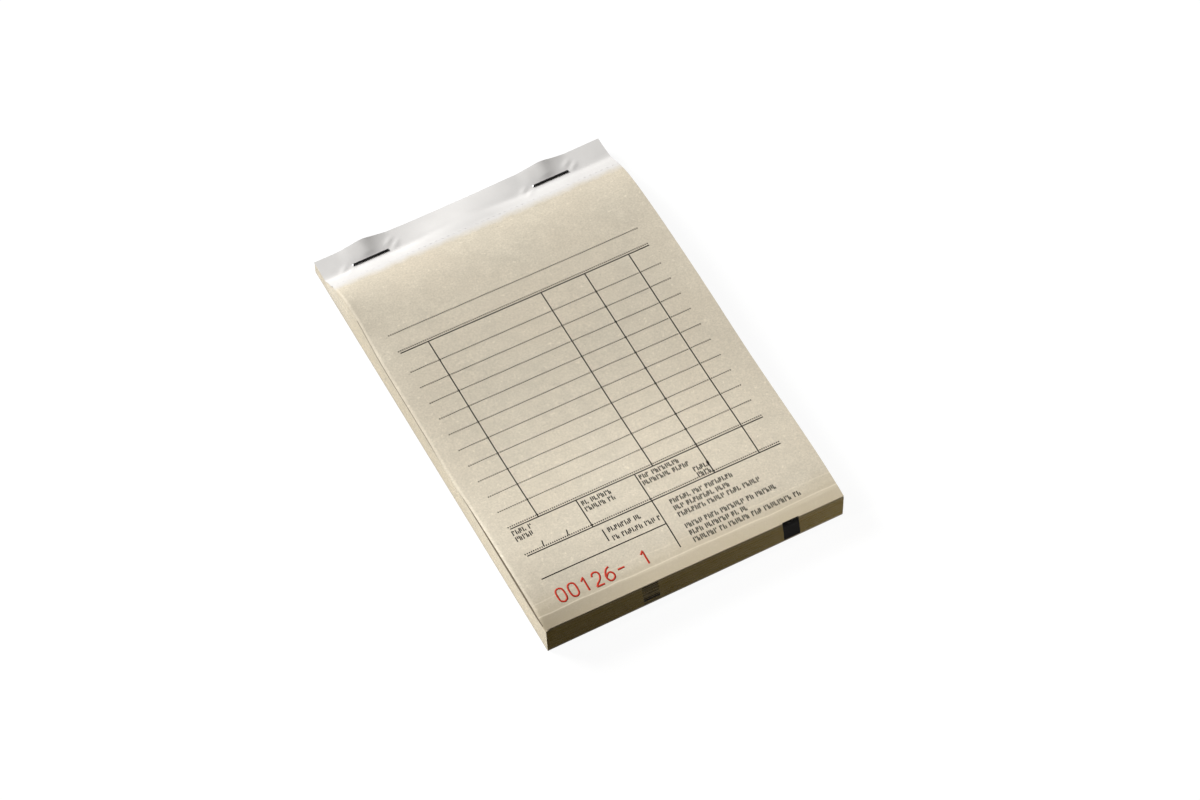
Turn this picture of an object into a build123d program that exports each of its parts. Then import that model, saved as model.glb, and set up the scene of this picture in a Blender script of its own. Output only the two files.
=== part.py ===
from build123d import *

import os

# A pad of carbon-copy receipts: thin paper sheets on a back card, clamped at the head by two
# wire staples. The pad is squeezed flat at the staples and swells to its full height in front
# of them. +X is the right of the form, +Y the stapled head, +Z up, and the origin is the
# middle of the underside. All sizes are in millimetres.

# Pad
pad_width = 100.0
pad_length = 154.0
body_height = 11.1
set_count = 50
sheets_per_set = 2

# Paper
paper_thickness = 0.04
paper_clearance = 0.004
strip_thickness = 0.09
strip_depth = 12.3
carbon_thickness = 0.03
carbon_margin = 2.0
carbon_shift = -1.8

# Swell in front of the staples, seen from the side
clamped_front = 0.9
swell_length = 20.0
swell_pull_head = 2.0
swell_pull_body = 15.0
swell_facets = 8

# Perforated tear line of the top set
perforation_pitch = 2.0
perforation_cut = 1.2
perforation_gap = 0.2

# Staples
staple_margin = 6.5
staple_left_inset = 16.1
staple_right_inset = 21.1
crown_width = 12.8
wire_width = 0.5
wire_thickness = 0.4
bend_inner_radius = 0.1
clinch_length = 3.0
slot_room = 0.02
clinch_cover = 0.3

# Places worked out from the sizes above
head_y = pad_length / 2
foot_y = -pad_length / 2
tear_y = head_y - strip_depth
staple_y = head_y - staple_margin
staple_left_x = -pad_width / 2 + staple_left_inset
staple_right_x = pad_width / 2 - staple_right_inset
swell_head_y = staple_y - clamped_front
swell_body_y = swell_head_y - swell_length

board_thickness = wire_thickness + clinch_cover
sheet_count = set_count * sheets_per_set
first_sheet_z = board_thickness + paper_clearance
head_pitch = paper_thickness + paper_clearance
body_pitch = (body_height - first_sheet_z - paper_thickness) / (sheet_count - 1)
top_original = sheet_count - 1
top_copy = sheet_count - 2
strip_level = sheet_count

bend_radius = bend_inner_radius + wire_thickness / 2
leg_x = (crown_width - wire_thickness) / 2
slot_length = wire_thickness + 2 * (bend_inner_radius + slot_room)
slot_width = wire_width + 2 * slot_room
clinch_z = wire_thickness / 2
crown_z = first_sheet_z + strip_level * head_pitch + strip_thickness + wire_thickness / 2
tear_plane = Plane.XZ.offset(-tear_y)


def swell_point(share):
    """Distance from the clamped head and share of the full rise, that far along the swell."""
    rest = 1 - share
    pulled = rest * swell_pull_head + share * (swell_length - swell_pull_body)
    distance = 3 * rest * share * pulled + share**3 * swell_length
    return distance, share**2 * (3 - 2 * share)


def face_points(level, above):
    """Points along a sheet's underside or another height above it, from foot to head."""
    head_z = first_sheet_z + level * head_pitch + above
    full_rise = level * (body_pitch - head_pitch)
    swell = [swell_point(step / swell_facets) for step in range(swell_facets, -1, -1)]
    points = [(foot_y, head_z + full_rise)]
    points += [(swell_head_y - distance, head_z + rise * full_rise) for distance, rise in swell]
    return points + [(head_y, head_z)]


def sheet_side(level, thickness):
    """Side outline of the sheet at that level of the pad, counted from the back card up."""
    underside = face_points(level, 0)
    upper_side = face_points(level, thickness)
    with BuildSketch(Plane.YZ.offset(-pad_width / 2)) as side:
        with BuildLine():
            Polyline(*underside, *reversed(upper_side), close=True)
        make_face()
    return side.sketch


def leg_slots():
    """Slots that the four staple legs are driven through, in plan."""
    with BuildSketch() as slots:
        for staple_x in (staple_left_x, staple_right_x):
            with Locations((staple_x - leg_x, staple_y), (staple_x + leg_x, staple_y)):
                Rectangle(slot_length, slot_width)
    return slots.sketch


def tear_cuts():
    """Row of short cuts along the tear line, in plan."""
    cut_count = int(pad_width / perforation_pitch)
    with BuildSketch() as cuts:
        with Locations((0, tear_y)):
            with GridLocations(perforation_pitch, perforation_gap, cut_count, 1):
                Rectangle(perforation_cut, perforation_gap)
    return cuts.sketch


def whole_sheets(*levels):
    """Whole sheets of paper at these levels, each pierced by the staple legs."""
    with BuildPart() as sheets:
        for level in levels:
            extrude(sheet_side(level, paper_thickness), amount=pad_width)
        extrude(slots_plan, amount=body_height, mode=Mode.SUBTRACT)
    return sheets.part


def sheet_piece(level, thickness, kept_side, perforated):
    """The part of a sheet on one side of the tear line: its leaf or its stub."""
    with BuildPart() as piece:
        extrude(sheet_side(level, thickness), amount=pad_width)
        extrude(slots_plan, amount=body_height, mode=Mode.SUBTRACT)
        split(bisect_by=tear_plane, keep=kept_side)
        if perforated:
            extrude(cuts_plan, amount=body_height, mode=Mode.SUBTRACT)
    return piece.part


def wire_staple(staple_x):
    """A driven staple: crown on the strip, legs down through the pad, ends clinched inwards."""
    clinch_x = leg_x - clinch_length
    with BuildPart() as staple:
        with BuildLine(Plane.XZ.offset(-staple_y)) as wire:
            FilletPolyline(
                (staple_x - clinch_x, clinch_z),
                (staple_x - leg_x, clinch_z),
                (staple_x - leg_x, crown_z),
                (staple_x + leg_x, crown_z),
                (staple_x + leg_x, clinch_z),
                (staple_x + clinch_x, clinch_z),
                radius=bend_radius,
            )
        with BuildSketch(Plane(wire.line @ 0, x_dir=(0, 1, 0), z_dir=wire.line % 0)):
            Rectangle(wire_width, wire_thickness)
        sweep()
    return staple.part


def save(part, name):
    """Names a finished piece and writes its file."""
    part.label = name
    export_step(part, f"parts/{name}.step")


os.makedirs("parts", exist_ok=True)
slots_plan = leg_slots()
cuts_plan = tear_cuts()

# Back card, with grooves that the clinched staple ends are pressed into
groove_length = clinch_length + wire_thickness / 2 + 2 * slot_room
groove_middle = leg_x + wire_thickness / 2 + slot_room - groove_length / 2
with BuildPart() as backing_board:
    with BuildSketch():
        Rectangle(pad_width, pad_length)
    extrude(amount=board_thickness)
    extrude(slots_plan, amount=board_thickness, mode=Mode.SUBTRACT)
    with BuildSketch():
        for staple_x in (staple_left_x, staple_right_x):
            with Locations((staple_x - groove_middle, staple_y), (staple_x + groove_middle, staple_y)):
                Rectangle(groove_length, slot_width)
    extrude(amount=wire_thickness + slot_room, mode=Mode.SUBTRACT)
save(backing_board.part, "backing_board")

# Bound sets, numbered from the top: each is an original with its copy under it
for number in range(2, set_count + 1):
    original_level = sheet_count - 1 - (number - 1) * sheets_per_set
    levels = [original_level - under for under in range(sheets_per_set)]
    save(whole_sheets(*levels), f"receipt_set_{number:02d}")

# Top set, parted at its tear line into leaves that lift and stubs that stay stapled
save(sheet_piece(top_copy, paper_thickness, Keep.BOTTOM, True), "copy_stub_01")
save(sheet_piece(top_copy, paper_thickness, Keep.TOP, True), "copy_leaf_01")
save(sheet_piece(top_original, paper_thickness, Keep.BOTTOM, True), "original_stub_01")
save(sheet_piece(top_original, paper_thickness, Keep.TOP, True), "original_leaf_01")

# Loose carbon sheet between the top original and its copy, clear of the swell and pushed
# to the left, where its edge shows as a dark line under the lifted leaf
carbon_foot_y = foot_y + carbon_margin
carbon_length = swell_body_y - carbon_margin - carbon_foot_y
carbon_room = body_pitch - paper_thickness - carbon_thickness
carbon_z = first_sheet_z + top_original * body_pitch - carbon_room / 2 - carbon_thickness
with BuildPart() as carbon_sheet:
    with BuildSketch(Plane.XY.offset(carbon_z)):
        with Locations((carbon_shift, carbon_foot_y + carbon_length / 2)):
            Rectangle(pad_width - 2 * carbon_margin, carbon_length)
    extrude(amount=carbon_thickness)
save(carbon_sheet.part, "carbon_sheet")

# White strip over the stubs, held down by the staples
save(sheet_piece(strip_level, strip_thickness, Keep.BOTTOM, False), "head_strip")

save(wire_staple(staple_left_x), "staple_left")
save(wire_staple(staple_right_x), "staple_right")
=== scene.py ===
import math
from functools import partial

import bpy
import numpy as np
from bpy.props import FloatProperty, FloatVectorProperty, IntProperty, PointerProperty
from mathutils import Matrix, Vector


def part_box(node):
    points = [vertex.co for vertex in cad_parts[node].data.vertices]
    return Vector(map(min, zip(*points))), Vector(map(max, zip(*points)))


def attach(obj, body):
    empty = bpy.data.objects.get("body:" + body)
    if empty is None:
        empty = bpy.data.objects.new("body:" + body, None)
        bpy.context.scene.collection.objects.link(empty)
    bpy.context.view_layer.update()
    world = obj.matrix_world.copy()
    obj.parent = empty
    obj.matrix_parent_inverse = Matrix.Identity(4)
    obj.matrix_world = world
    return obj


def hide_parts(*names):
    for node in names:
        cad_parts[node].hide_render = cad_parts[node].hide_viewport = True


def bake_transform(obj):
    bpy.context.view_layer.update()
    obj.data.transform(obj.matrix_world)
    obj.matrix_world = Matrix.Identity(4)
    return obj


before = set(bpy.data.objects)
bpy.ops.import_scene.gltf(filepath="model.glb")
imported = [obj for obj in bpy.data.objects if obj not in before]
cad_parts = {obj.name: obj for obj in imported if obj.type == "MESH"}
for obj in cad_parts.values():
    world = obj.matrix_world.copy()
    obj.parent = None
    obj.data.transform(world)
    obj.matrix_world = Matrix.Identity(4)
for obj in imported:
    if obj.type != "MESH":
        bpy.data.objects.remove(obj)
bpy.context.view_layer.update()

bl_info = {
    "name": "Duplicate receipt pad",
    "version": (1, 0, 0),
    "blender": (4, 5, 0),
    "location": "View3D > Sidebar > Receipt pad",
    "description": "Paper, print and studio light for a stapled pad of carbon-copy receipts",
    "category": "Object",
}

MM = 0.001

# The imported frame: the box of the solids, and the places that the paper is laid out from
BOARD_LOW, BOARD_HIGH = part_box("backing_board")
STRIP_LOW, STRIP_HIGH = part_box("head_strip")
LEAF_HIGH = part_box("original_leaf_01")[1]
CARBON_LOW, CARBON_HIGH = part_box("carbon_sheet")
STAPLE_BOXES = [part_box("staple_left"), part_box("staple_right")]
LEFT_X, RIGHT_X = BOARD_LOW.x, BOARD_HIGH.x
FOOT_Y, HEAD_Y = BOARD_LOW.y, BOARD_HIGH.y
TEAR_Y = STRIP_LOW.y
STAPLE_Y = (STAPLE_BOXES[0][0].y + STAPLE_BOXES[0][1].y) / 2
STAPLE_XS = [(low.x + high.x) / 2 for low, high in STAPLE_BOXES]
STAPLE_MIDDLE = sum(STAPLE_XS) / 2
HALF_CROWN = (STAPLE_BOXES[0][1].x - STAPLE_BOXES[0][0].x) / 2
CROWN_TOP = STAPLE_BOXES[0][1].z

# The pile: levels count sheets from the back card up, and the strip lies at the top level
PAPER = 0.04 * MM
STUB_PAPER = 0.9 * PAPER
STRIP_PAPER = 0.09 * MM
CARBON_PAPER = 0.03 * MM
INK_HEIGHT = 0.012 * MM
TOP_LEVEL = 100
ORIGINAL_LEVEL, COPY_LEVEL = 99, 98
NEXT_ORIGINAL_LEVEL, NEXT_COPY_LEVEL = 97, 96
PILE_LEVELS = 96
PILE_SEED = 4
PILE_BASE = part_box("receipt_set_50")[0].z
CLAMPED_Z = STRIP_LOW.z
BODY_Z = PILE_BASE + (LEAF_HIGH.z - PAPER - PILE_BASE) * TOP_LEVEL / ORIGINAL_LEVEL

# The swell in front of the staples, by the same cubic as the solids, and its easing
SWELL_HEAD_Y = STAPLE_Y - 0.9 * MM
SWELL_LENGTH = 20 * MM
SWELL_PULL_HEAD = 2 * MM
SWELL_PULL_BODY = 15 * MM
LOOSE_HALF_WIDTH = 25 * MM
EASE_POWER = 1.3
EASE_NARROWING = 0.08
EASE_SPREAD = 2.4 * MM
EASE_HEAD_Y = 70 * MM
EASE_FADE = 4 * MM

# The bends of the sheets along the left side and at the head, and the room for the carbon sheet
DROOP_HEAD_Y = 56 * MM
DROOP_FADE = 30 * MM
DROOP_REACH, DROOP_REACH_MORE = 2.1 * MM, 2.4 * MM
CORNER_LENGTH = 12 * MM
SIDE_REACH = 6 * MM
EDGE_REACH = 25 * MM
EDGE_GAP = 0.34 * MM
FOOT_GAP = 0.26 * MM
HEAD_GAP = 0.2 * MM
HEAD_CURL = 0.45 * MM
LEAST_GAP = 0.02 * MM
FOOT_LENGTH = 18 * MM
SQUEEZE_Y = 58 * MM
SQUEEZE_LENGTH = 18 * MM
STRIP_OVERHANG = 0.22 * MM
# Painted shade: the carbon stands out further than the pile so that its dark edge shows in the gap under
# the top leaf.
CARBON_SHADE_OVERHANG = 1.2
CARBON_LIFT = 0.045 * MM
COPY_LIFT = 0.03
COCKLE = 0.018 * MM
CARBON_HEADROOM = 0.04 * MM


# Settings

def colour(name, description, default):
    """A colour setting."""
    return FloatVectorProperty(
        name=name, description=description, subtype="COLOR", size=3, min=0, max=1, default=default)


def length(name, description, millimetres):
    """A length setting, given in millimetres."""
    return FloatProperty(
        name=name, description=description, default=millimetres * MM, unit="LENGTH", precision=6)


def angle(name, description, degrees):
    """An angle setting, given in degrees."""
    return FloatProperty(name=name, description=description, default=math.radians(degrees), unit="ROTATION")


def power(name, description, watts):
    """The power setting of a light."""
    return FloatProperty(name=name, description=description, default=watts, unit="POWER")


class ReceiptPaper(bpy.types.PropertyGroup):
    """Colours of the papers, the card and the wire."""

    leaf_colour: colour("Receipt paper", "Cream of the receipt sheets", (0.650, 0.590, 0.480))
    edge_colour: colour("Cut edges", "Paler cream of the sheets' cut edges", (0.680, 0.628, 0.508))
    # Painted shade: this dark brown stands in for the shade on the foot edges, which face away from the
    # lamps.
    foot_edge_shade_colour: colour("Foot edges", "Browner cream of the handled foot edges", (0.335, 0.236, 0.052))
    strip_colour: colour("Head strip", "Cool white of the strip under the staples", (0.620, 0.608, 0.600))
    carbon_colour: colour("Carbon paper", "Blue-black of the carbon sheet", (0.014, 0.015, 0.026))
    # Partly painted shade: the carbon's bare margin is real, and its dark brown stands in for the shade in
    # the gap under the top leaf.
    margin_shade_colour: colour("Carbon margin", "Brown of the carbon sheet's bare margin", (0.110, 0.085, 0.052))
    card_colour: colour("Back card", "Grey cream of the back card", (0.50, 0.44, 0.35))
    # Painted shade: the near-black stands in for the dark reflections on the staple crowns.
    wire_shade_colour: colour("Staple wire", "Dark drawn steel of the staples", (0.020, 0.019, 0.019))


class ReceiptShape(bpy.types.PropertyGroup):
    """How the used paper lies: tilt, lifts, flares and puckers."""

    side_tilt: length("Side tilt", "How much higher the pile lies at the left than in the solids", 0.95)
    swell_ease: length("Swell ease", "How gently the leaves rise in front of the tear line", 9.5)
    swell_stretch: FloatProperty(
        name="Swell stretch", description="How much longer the swell runs at the right side", default=0.35)
    slide_room: length("Slide room", "Room under the top leaf for the carbon sheet to slide out", 0.5)
    side_dip: length("Side dip", "Depth of the hollow half way along the left side", 0.3)
    edge_droop: length("Edge droop", "How far the upper sheets bend down along the left side", 0.6)
    side_bulge: length("Side bulge", "How far the upper sheets stand out to the left", 0.75)
    leaf_overhang: length("Leaf overhang", "How far the top leaf stands out near the tear line", 0.22)
    right_curl: length("Right curl", "How far the top leaf's right edge curls up", 0.9)
    edge_roll: length("Edge roll", "How far the top leaf's left edge is bent down", 0.3)
    wave_height: length("Wave height", "Height of the broad waves in the pile", 0.04)
    foot_bend: length("Foot bend", "How far the sheets bend down at the right of the foot", 0.26)
    foot_bend_length: length("Foot bend length", "How far in from the foot the bend begins", 13)
    head_squeeze: length("Head squeeze", "How far the right side is drawn in at the head", 0.8)
    flare_height: length("Flare height", "Rise of the head edge behind each staple", 1.35)
    flare_width: length("Flare half width", "Half the width of the rise behind each staple", 9.5)
    head_sag: length("Head sag", "How far the head edge sags between the staples", 0.5)
    pucker_depth: length("Pucker depth", "Depth of the puckers at the staple ends", 0.2)
    leaf_lift_left: length("Leaf lift left", "Gap under the top leaf at its left edge", 1.6)
    leaf_lift_right: length("Leaf lift right", "Gap under the top leaf far from its left edge", 1.0)
    leaf_lift_y: length("Leaf lift place", "Where along the pad the top leaf lifts most", -59)
    leaf_lift_length: length("Leaf lift length", "How far the lift runs towards the head", 44)
    leaf_lift_reach: length("Leaf lift reach", "How far the left lift reaches in from the edge", 38)
    corner_lift: length("Corner lift", "Lift of the top leaf's left edge near the tear line", 0.75)
    edge_shift: length("Edge shift", "How far single sheets stand out of line", 0.09)
    sheet_fill: FloatProperty(
        name="Sheet fill", description="Share of each level that a sheet of the pile fills", default=0.93,
        min=0.3, max=1.0)


class ReceiptPrint(bpy.types.PropertyGroup):
    """Sizes and inks of the printed form."""

    ink_colour: colour("Form ink", "Brown-black of the printed form", (0.006, 0.005, 0.004))
    number_colour: colour("Number ink", "Red of the running number", (0.43, 0.036, 0.020))
    row_pitch: length("Row pitch", "Distance between the ruled rows", 6.35)
    row_count: IntProperty(
        name="Rows", description="Number of ruled rows above the closing rule", default=10, min=1)
    dot_pitch: length("Dot pitch", "Distance between the dots of a dotted rule", 0.706)
    dot_size: length("Dot size", "Width of a dot", 0.46)
    rule_width: length("Rule width", "Width of a solid rule", 0.36)
    stroke_width: length("Word stroke width", "Width of the strokes that stand for words", 0.34)
    number_stroke: length("Number stroke width", "Width of the running number's strokes", 0.6)
    number_height: length("Number height", "Height of the running number", 4.7)
    first_number: IntProperty(
        name="First number", description="Running number of the top set", default=126, min=0, max=99999)


class ReceiptStage(bpy.types.PropertyGroup):
    """Camera and studio light."""

    lens: FloatProperty(
        name="Lens", description="Focal length in millimetres", default=154.63, unit="CAMERA")
    azimuth: angle("Azimuth", "Turn of the view about the pad", -27.545)
    elevation: angle("Elevation", "Height of the view above the table", 56.977)
    roll: angle("Roll", "Turn of the camera about its own axis", -0.697)
    distance: length("Distance", "Distance from the camera to its target", 1562.9)
    target: FloatVectorProperty(
        name="Target", description="Point in the middle of the picture", size=3, subtype="XYZ",
        default=(3.702 * MM, -9.301 * MM, 5 * MM), unit="LENGTH", precision=5)
    key_power: power("Key light", "Power of the soft box behind the left of the pad", 75.5)
    pool_power: power("Pool light", "Power of the spot on the lower half of the form", 36.0)
    foot_power: power("Foot light", "Power of the small light in front of the right of the foot", 0.09)
    fill: FloatProperty(
        name="Fill", description="Strength of the light from all round", default=0.035, min=0)


class ReceiptPad(bpy.types.PropertyGroup):
    """All settings of the pad."""

    paper: PointerProperty(type=ReceiptPaper)
    shape: PointerProperty(type=ReceiptShape)
    printing: PointerProperty(type=ReceiptPrint)
    stage: PointerProperty(type=ReceiptStage)


# Heights of the paper

def bump(distance):
    """A smooth hump: 1 at the middle, 0 from a distance of 1."""
    return 0.5 + 0.5 * np.cos(np.pi * np.minimum(np.abs(distance), 1))


def ramp(share):
    """A smooth step from 0 to 1."""
    share = np.clip(share, 0, 1)
    return share * share * (3 - 2 * share)


def rightward(x):
    """Share of the way from the left side to the right side."""
    return (x - LEFT_X) / (RIGHT_X - LEFT_X)


def near_left(x, reach):
    """A share that is 1 at the left side and falls off over this reach."""
    return np.exp((LEFT_X - x) / reach)


def from_foot(y, span):
    """A smooth step over this span, from 0 at the foot to 1."""
    return ramp((y - FOOT_Y) / span)


def sharp_rise(x, y, shape):
    """Share of the pile's full rise, 0 at the staples and 1 in front of the swell."""
    share = np.linspace(0, 1, 65)
    rest = 1 - share
    pulled = rest * SWELL_PULL_HEAD + share * (SWELL_LENGTH - SWELL_PULL_BODY)
    distance = 3 * rest * share * pulled + share**3 * SWELL_LENGTH
    rise = share**2 * (3 - 2 * share)
    stretch = 1 + shape.swell_stretch * rightward(x)
    under_strip = np.interp((SWELL_HEAD_Y - np.maximum(y, TEAR_Y)) / stretch, distance, rise)
    at_tear = np.interp((SWELL_HEAD_Y - TEAR_Y) / stretch, distance, rise)
    loose = bump((x - STAPLE_MIDDLE) / LOOSE_HALF_WIDTH)
    even = at_tear * (HEAD_Y - np.maximum(y, TEAR_Y)) / (HEAD_Y - TEAR_Y)
    under_strip = under_strip + loose * (even - under_strip)
    in_front = np.maximum(TEAR_Y - y, 0) / (shape.swell_ease * (1 - EASE_NARROWING * rightward(x)))
    return 1 - (1 - under_strip) * np.exp(-in_front**EASE_POWER)


def swell_rise(x, y, shape):
    """The same share, with the bend at the tear line eased over a few millimetres."""
    offsets = np.linspace(-EASE_SPREAD, EASE_SPREAD, 9)
    eased = ramp((EASE_HEAD_Y - y) / EASE_FADE)
    return sum(sharp_rise(x, y + offset * eased, shape) for offset in offsets) / len(offsets)


def head_flare(x, y, shape):
    """Rise of the head edge behind the staples, and its sag between them."""
    behind = np.clip((y - STAPLE_Y - 0.35 * MM) / (HEAD_Y - STAPLE_Y), 0, 1)
    rise = sum(bump((x - staple_x) / shape.flare_width) for staple_x in STAPLE_XS)
    sag = bump((x - STAPLE_MIDDLE) / (STAPLE_XS[1] - STAPLE_MIDDLE))
    return behind * (shape.flare_height * rise - shape.head_sag * sag)


def left_droop(x, y, shape):
    """How far the pile's upper sheets bend down along the left side, from the foot to the strip."""
    reach = DROOP_REACH + DROOP_REACH_MORE * from_foot(y, CORNER_LENGTH)
    return shape.edge_droop * near_left(x, reach) * ramp((DROOP_HEAD_Y - y) / DROOP_FADE)


def leaf_hump(y, shape):
    """The top leaf's hump along the pad: 1 at its crest, 0 at the foot and far towards the head."""
    away = y - shape.leaf_lift_y
    to_foot = np.clip(away / (shape.leaf_lift_y - FOOT_Y), -1, 0)
    return np.where(away > 0, bump(away / shape.leaf_lift_length), 1 - to_foot**2)


def pile_bulge(x, y, shape):
    """How far the top of the pile stands out to the left."""
    along = from_foot(y + 9 * MM, 16 * MM) * ramp((54 * MM - y) / (28 * MM))
    return shape.side_bulge * along * near_left(x, SIDE_REACH)


def leaf_bulge(x, y, shape):
    """The same for the top leaf: over the pile near the head, and drawn in where it humps."""
    hump = leaf_hump(y, shape)
    ends = from_foot(y, 10 * MM) * ramp((TEAR_Y - y) / (4 * MM))
    drawn_in = 0.22 * MM * (1 - hump) * (1 - 1.2 * bump((y + 16 * MM) / (16 * MM))) + 0.2 * MM * hump
    more = (shape.leaf_overhang * ramp((y - 44 * MM) / (8 * MM)) - drawn_in) * ends
    return pile_bulge(x, y, shape) + more * near_left(x, SIDE_REACH)


def carbon_bulge(x, y, shape):
    """The same for the carbon sheet, a little more than the pile, so that its dark edge shows as painted
    shade in the gap under the top leaf.
    """
    return CARBON_SHADE_OVERHANG * pile_bulge(x, y, shape)


def strip_bulge(x, y, shape):
    """The same for the head strip, at its edge only."""
    return STRIP_OVERHANG * near_left(x, 1.5 * MM)


def carbon_room(x, y, shape):
    """How far the pile lies lower under the top leaf, so that the carbon sheet can slide out."""
    return shape.slide_room * (1 - near_left(x, EDGE_REACH)) * ramp((58 * MM - y) / (14 * MM))


def pile_top(x, y, shape):
    """Height of the top of the pile, where the head strip lies."""
    tilt = shape.side_tilt * (1 - 1.55 * rightward(x))
    dip = shape.side_dip * (1 - rightward(x)) * bump((y + 12 * MM) / (30 * MM))
    wave = np.sin(x / (9 * MM) + y / (15 * MM) + 0.7) + 0.7 * np.sin(x / (14 * MM) - y / (11 * MM) + 2.1)
    to_foot = np.maximum(0, 1 - (y - FOOT_Y) / shape.foot_bend_length)
    bend = shape.foot_bend * rightward(x) * to_foot**2
    lowered = dip + bend + left_droop(x, y, shape) + carbon_room(x, y, shape)
    full = BODY_Z - CLAMPED_Z + tilt - lowered + shape.wave_height * wave
    return CLAMPED_Z + swell_rise(x, y, shape) * full + head_flare(x, y, shape)


def level_height(level, x, y, shape):
    """Underside of the sheet at a level of the pile."""
    return PILE_BASE + (pile_top(x, y, shape) - PILE_BASE) * level / TOP_LEVEL


def top_leaf_lift(x, y, shape):
    """Gap under the top leaf: a hump in front of the foot, highest at the left, and lifted edges."""
    fade = near_left(x, shape.leaf_lift_reach)
    most = shape.leaf_lift_right + (shape.leaf_lift_left - shape.leaf_lift_right) * fade
    lift = leaf_hump(y, shape) * most
    corner = shape.corner_lift * near_left(x, 15 * MM) * bump((y - 52 * MM) / (14 * MM))
    ends = from_foot(y, 6 * MM) * ramp((TEAR_Y - y) / (6 * MM))
    roll = shape.edge_roll * ramp(1 - (x - LEFT_X) / (0.7 * MM))
    edge = (EDGE_GAP * near_left(x, EDGE_REACH) - roll) * ends
    to_foot = ramp((FOOT_Y + FOOT_LENGTH - y) / FOOT_LENGTH)
    foot = FOOT_GAP * to_foot * near_left(x, EDGE_REACH)
    level = left_droop(x, y, shape) * ramp((FOOT_Y + CORNER_LENGTH - y) / CORNER_LENGTH)
    room = carbon_room(x, y, shape) * swell_rise(x, y, shape) * (1 - 0.2 * to_foot)
    head_curl = HEAD_CURL * near_left(x, SIDE_REACH) * bump((y - 57 * MM) / (9 * MM))
    rim = HEAD_GAP * np.exp(-np.maximum(TEAR_Y - y, 0) / (6 * MM))
    curl = shape.right_curl * np.exp((x - RIGHT_X) / (7 * MM)) * bump((y - 16 * MM) / (40 * MM))
    return lift + corner + edge + foot + level + room + head_curl + rim + curl


def foot_crease(x, y):
    """Creases across the top leaf near its foot: a small ridge and two fainter ones."""
    place = FOOT_Y + 3.2 * MM + 0.9 * MM * (1 - rightward(x)) + 0.25 * MM * np.sin(x / (7 * MM))
    ridges = np.zeros_like(x)
    for above, height in ((0.0, 0.085 * MM), (2.6 * MM, 0.04 * MM), (-1.5 * MM, 0.03 * MM)):
        ridges += height * np.exp(-(((y - place - above) / (0.8 * MM)) ** 2))
    return ridges


def leaf_cockle(x, y):
    """Small uneven waves of handled paper, none of them below the sheet."""
    across = np.sin(x / (5.3 * MM) + 0.8 * np.sin(y / (17 * MM)))
    along = np.sin(y / (6.1 * MM) + 1.1 * np.sin(x / (13 * MM)))
    fold = np.sin((x + 0.7 * y) / (3.7 * MM)) * np.sin((x - 0.4 * y) / (21 * MM))
    return COCKLE * (2 + across * along + fold)


def original_height(x, y, shape):
    """Underside of the top original."""
    lift = np.maximum(top_leaf_lift(x, y, shape) + foot_crease(x, y), LEAST_GAP)
    return level_height(ORIGINAL_LEVEL, x, y, shape) + lift + leaf_cockle(x, y)


def copy_height(x, y, shape):
    """Underside of the top copy, which lifts a little with the original."""
    return level_height(COPY_LEVEL, x, y, shape) + COPY_LIFT * top_leaf_lift(x, y, shape)


def carbon_height(x, y, shape):
    """Underside of the carbon sheet, which clears what it passes over on its way out at the foot."""
    lying = copy_height(x, y, shape) + PAPER + CARBON_LIFT
    clear = np.maximum.accumulate(lying, axis=0)
    under_leaf = original_height(x, y, shape) - CARBON_HEADROOM
    inwards = ramp((x - LEFT_X - 0.2 * MM) / (1.6 * MM))
    return lying + inwards * (np.maximum(lying, np.minimum(clear, under_leaf)) - lying)


def staple_puckers(x, y, shape):
    """Soft folds that run out from the staple legs."""
    height = np.zeros_like(x)
    for low, high in STAPLE_BOXES:
        for leg_x, way in ((low.x, -1), (high.x, 1)):
            out = (x - leg_x + 0.75 * (y - STAPLE_Y)) * way / 1.25
            beside = (y - STAPLE_Y - 0.75 * (x - leg_x)) / 1.25
            fade = bump((out - 2.6 * MM) / (3.2 * MM))
            folds = sum(np.exp(-(((beside - side * 1.5 * MM) / (0.9 * MM)) ** 2)) for side in (-0.6, 1))
            height += shape.pucker_depth * fade * folds
    return height


def strip_height(x, y, shape):
    """Underside of the head strip, which stands off the stubs in waves and folds."""
    from_staples = np.abs(y - STAPLE_Y) / (6 * MM) * ramp((y - TEAR_Y) / (4 * MM))
    behind = ramp((y - STAPLE_Y - 0.4 * MM) / (2 * MM))
    ripple = sum(bump((x - staple_x) / shape.flare_width) * (1 + np.cos((x - staple_x) / (1.3 * MM)))
                 for staple_x in STAPLE_XS)
    broad = 1.5 + np.sin(x / (8.5 * MM) + 0.4) + 0.5 * np.sin(x / (4.1 * MM) + y / (5 * MM))
    small = 0.12 * MM * behind * ripple + 0.10 * MM * broad * from_staples
    return pile_top(x, y, shape) + staple_puckers(x, y, shape) + small


# Meshes

def spaced(start, stop, step):
    """Even places from start up to stop, about a step apart."""
    return np.linspace(start, stop, max(2, round((stop - start) / step) + 1))


def joined(*runs):
    """Runs of places as one, without the doubled ends."""
    return np.unique(np.round(np.concatenate(runs), 7))


def mark_points(mesh, **marks):
    """Stores numbers on the points of a mesh, each row under its own name."""
    for name, values in marks.items():
        stored = mesh.attributes.new(name, "FLOAT", "POINT")
        stored.data.foreach_set("value", np.asarray(values, np.float32))


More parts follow.
